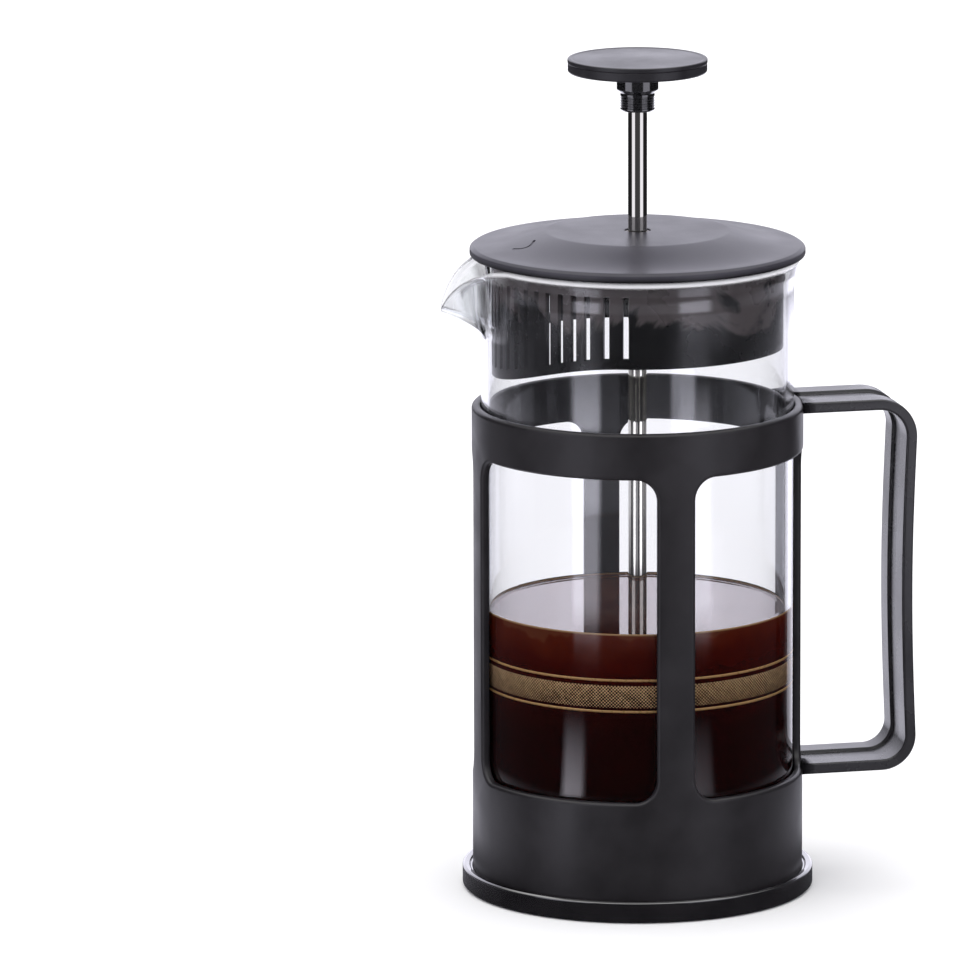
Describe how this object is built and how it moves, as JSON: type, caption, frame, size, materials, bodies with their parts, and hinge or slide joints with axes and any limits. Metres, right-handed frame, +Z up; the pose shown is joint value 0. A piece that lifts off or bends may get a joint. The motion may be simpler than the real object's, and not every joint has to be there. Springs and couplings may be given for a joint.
{
  "type": "french press",
  "caption": "Glass coffee plunger pot in a black moulded holder with a strap handle, pouring lip, domed lid, steel rod with round knob and a mesh filter.",
  "frame": {"origin": "centre of the flat underside of the base", "axes": "+Z up along the rod, +X towards the handle, -X towards the pouring lip"},
  "size_m": [0.1511, 0.1114, 0.2657],
  "materials": {
    "holder_plastic": "matte charcoal black, fine moulded texture",
    "base_plastic": "glossy black",
    "handle_plastic": "satin black",
    "silicone": "soft grey silicone",
    "clear_glass": "clear, polished",
    "lid_plastic": "satin dark grey",
    "strainer_plastic": "semi-gloss black",
    "polished_steel": "mirror polished stainless steel",
    "filter_steel": "satin stainless steel",
    "mesh_steel": "woven stainless wire",
    "knob_plastic": "satin black",
    "collar_plastic": "glossy black",
    "insert_brass": "turned"
  },
  "bodies": {
    "holder": {"frame_cage": "holder_plastic", "base_flange": "base_plastic", "cushion_ring": "silicone", "handle": "handle_plastic"},
    "beaker": {"glass_beaker": "clear_glass"},
    "guide": {"lid_bush": "strainer_plastic"},
    "lid": {"lid_cover": "lid_plastic", "lid_strainer": "strainer_plastic"},
    "plunger": {"rod": "polished_steel", "knob_cap": "knob_plastic", "knob_base": "knob_plastic", "knob_neck": "collar_plastic", "knob_ferrule": "collar_plastic", "knob_insert": "insert_brass", "filter_hub": "polished_steel", "spring_plate": "filter_steel", "filter_spring": "filter_steel", "mesh_screen": "mesh_steel", "cross_plate": "filter_steel", "end_nut": "polished_steel"}
  },
  "joints": [
    {"name": "beaker_lift", "type": "slide", "parent": "holder", "child": "beaker", "axis": [0, 0, 1], "range_m": [0, 0.15]},
    {"name": "lid_lift", "type": "slide", "parent": "beaker", "child": "guide", "axis": [0, 0, 1], "range_m": [0, 0.15]},
    {"name": "lid_turn", "type": "hinge", "parent": "guide", "child": "lid", "pos_m": [0, 0, 0.2], "axis": [0, 0, 1], "continuous": true},
    {"name": "plunge", "type": "slide", "parent": "guide", "child": "plunger", "axis": [0, 0, 1], "range_m": [-0.0375, 0.085]}
  ]
}
